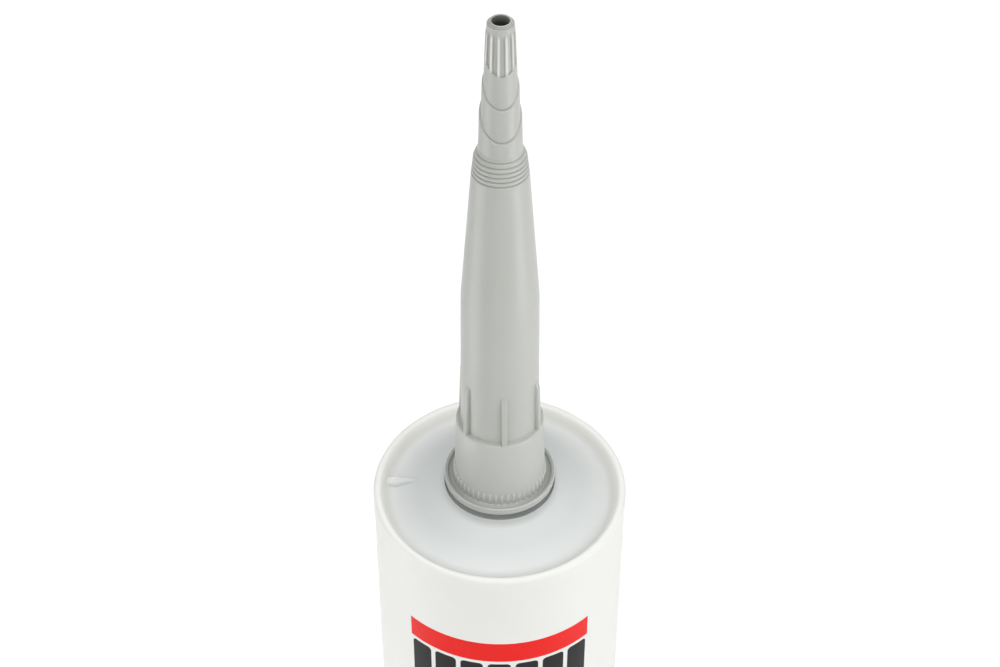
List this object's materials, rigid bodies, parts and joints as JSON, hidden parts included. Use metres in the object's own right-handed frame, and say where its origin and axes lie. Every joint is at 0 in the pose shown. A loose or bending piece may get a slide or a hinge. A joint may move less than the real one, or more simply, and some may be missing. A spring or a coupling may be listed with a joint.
{
  "type": "caulk tube",
  "caption": "Sealant cartridge: cylindrical barrel with a threaded neck, a tapered screw-on nozzle with slanted cutting guides, and a plunger that slides in from the open rear.",
  "frame": {"origin": "centre of the barrel's open rear edge, on the surface that the cartridge stands on", "axes": "+Z along the cartridge towards the nozzle's tip, -Y towards the printed front"},
  "size_m": [0.0502, 0.0502, 0.3266],
  "materials": {
    "barrel_plastic": "satin moulded, ivory white",
    "nozzle_plastic": "satin moulded, light grey",
    "plunger_plastic": "waxy moulded, natural white",
    "sealant_paste": "smooth wet paste, light grey"
  },
  "bodies": {
    "cartridge": {"barrel": "barrel_plastic", "sealant": "sealant_paste"},
    "plunger": {"plunger": "plunger_plastic"},
    "nozzle": {"nozzle": "nozzle_plastic"}
  },
  "joints": [
    {"name": "plunger_slide", "type": "slide", "parent": "cartridge", "child": "plunger", "axis": [0, 0, 1], "range_m": [0, 0.1795], "deforming": ["sealant"]},
    {"name": "nozzle_lift", "type": "slide", "parent": "cartridge", "child": "nozzle", "axis": [0, 0, 1], "range_m": [0, 0.04]}
  ]
}
